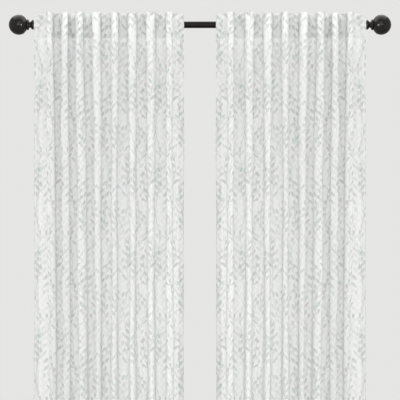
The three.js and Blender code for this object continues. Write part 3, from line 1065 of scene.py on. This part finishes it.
def add_floor():
    """A plain pale round floor just under the hems, which fades out towards its rim."""
    angles = np.linspace(0, math.tau, FLOOR_FACETS, endpoint=False)
    height = CAD_LOW.z - FLOOR_DROP
    rim = [(FLOOR_RADIUS * math.cos(a), FLOOR_RADIUS * math.sin(a), height) for a in angles]
    mesh = new_mesh("floor", rim, [list(range(len(rim)))])
    floor = bpy.data.objects.new("floor", mesh)
    bpy.context.scene.collection.objects.link(floor)
    material, shade, output = new_material("floor_matt")
    face = shade.node("ShaderNodeBsdfPrincipled", {"Base Color": rgba(FLOOR_COLOUR), "Roughness": 0.9})
    level = shade.scaled(shade.node("ShaderNodeTexCoord").outputs["Object"], (1.0, 1.0, 0.0))
    away = shade.node("ShaderNodeVectorMath", (level,), operation="LENGTH").outputs["Value"]
    clear = shade.node("ShaderNodeBsdfTransparent")
    fading = shade.mixed_shader(shade.between(away, FLOOR_PLAIN, FLOOR_RADIUS), face, clear)
    shade.feed(output.inputs[0], fading)
    mesh.materials.append(material)


def add_world(scene, studio):
    """A plain pale backdrop, and soft light that comes mostly from the room side."""
    world = bpy.data.worlds.new("studio")
    world.use_nodes = True
    world.node_tree.nodes.clear()
    shade = Shade(world.node_tree)
    way = shade.node("ShaderNodeTexCoord").outputs["Generated"]
    x, y = shade.node("ShaderNodeSeparateXYZ", (way,)).outputs[:2]
    strength = shade.between(y, FROM_ROOM, FROM_WALL, studio.room_light, studio.wall_light)
    strength = shade.times(strength, shade.times_plus(shade.times(x, x), studio.side_light, 1.0))
    light = shade.node("ShaderNodeBackground", {"Color": (1.0, 1.0, 0.99, 1.0), "Strength": strength})
    backdrop = shade.node("ShaderNodeBackground", {"Color": rgba(studio.backdrop)})
    seen = shade.node("ShaderNodeLightPath").outputs["Is Camera Ray"]
    shade.node("ShaderNodeOutputWorld", (shade.mixed_shader(seen, light, backdrop),))
    scene.world = world
    scene.view_settings.view_transform = "Standard"


def add_lamp(row):
    """One soft lamp, which the camera doesn't see."""
    data = bpy.data.lights.new(row.name, "AREA" if row.aim else "POINT")
    data.energy = row.power
    lamp = bpy.data.objects.new(row.name, data)
    lamp.location = row.place
    lamp.visible_camera = False
    if row.aim:
        data.shape = "RECTANGLE"
        data.size, data.size_y = row.size
        data.spread = math.radians(row.spread)
        lamp.rotation_euler = (Vector(row.aim) - Vector(row.place)).to_track_quat("-Z", "Y").to_euler()
    else:
        data.shadow_soft_size = row.size[0] / 2
    bpy.context.scene.collection.objects.link(lamp)
    if row.lights:
        lit = bpy.data.collections.new(f"{row.name}_lit")
        for name in row.lights:
            lit.objects.link(bpy.data.objects[name])
        lamp.light_linking.receiver_collection = lit


def add_camera(scene, studio):
    """A level camera straight before mid-span."""
    data = bpy.data.cameras.new("camera")
    data.lens = data.sensor_width * studio.camera_distance / studio.frame_width
    camera = bpy.data.objects.new("camera", data)
    camera.location = (0.0, -studio.camera_distance, studio.camera_height)
    camera.rotation_euler = (math.radians(90), 0, 0)
    scene.collection.objects.link(camera)
    scene.camera = camera


class CURTAIN_PT_sidebar(bpy.types.Panel):
    """Sidebar panel that lists the curtain's pieces and sizes"""

    bl_idname = "CURTAIN_PT_sidebar"
    bl_label = "Curtain"
    bl_space_type = "VIEW_3D"
    bl_region_type = "UI"
    bl_category = "Curtain"

    def draw(self, context):
        for operator in OPERATORS:
            self.layout.operator(operator.bl_idname)
        for group in GROUPS:
            settings = getattr(context.scene, group)
            for name in settings.bl_rna.properties.keys():
                if name not in ("rna_type", "name"):
                    self.layout.prop(settings, name)


OPERATORS = (
    CURTAIN_OT_add_rod,
    CURTAIN_OT_add_finials,
    CURTAIN_OT_add_tabs,
    CURTAIN_OT_add_panels,
    CURTAIN_OT_add_studio,
)
GROUPS = {
    "curtain_cloth": CurtainClothSizes,
    "curtain_colours": CurtainColours,
    "curtain_studio": CurtainStudio,
}
CLASSES = (*GROUPS.values(), *OPERATORS, CURTAIN_PT_sidebar)


def register():
    for kind in CLASSES:
        bpy.utils.register_class(kind)
    for name, kind in GROUPS.items():
        setattr(bpy.types.Scene, name, bpy.props.PointerProperty(type=kind))


def unregister():
    for name in GROUPS:
        delattr(bpy.types.Scene, name)
    for kind in reversed(CLASSES):
        bpy.utils.unregister_class(kind)


def main():
    """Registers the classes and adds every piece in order."""
    register()
    bpy.ops.curtain.add_rod()
    bpy.ops.curtain.add_finials()
    bpy.ops.curtain.add_tabs()
    bpy.ops.curtain.add_panels()
    bpy.ops.curtain.add_studio()


if __name__ == "__main__":
    main()
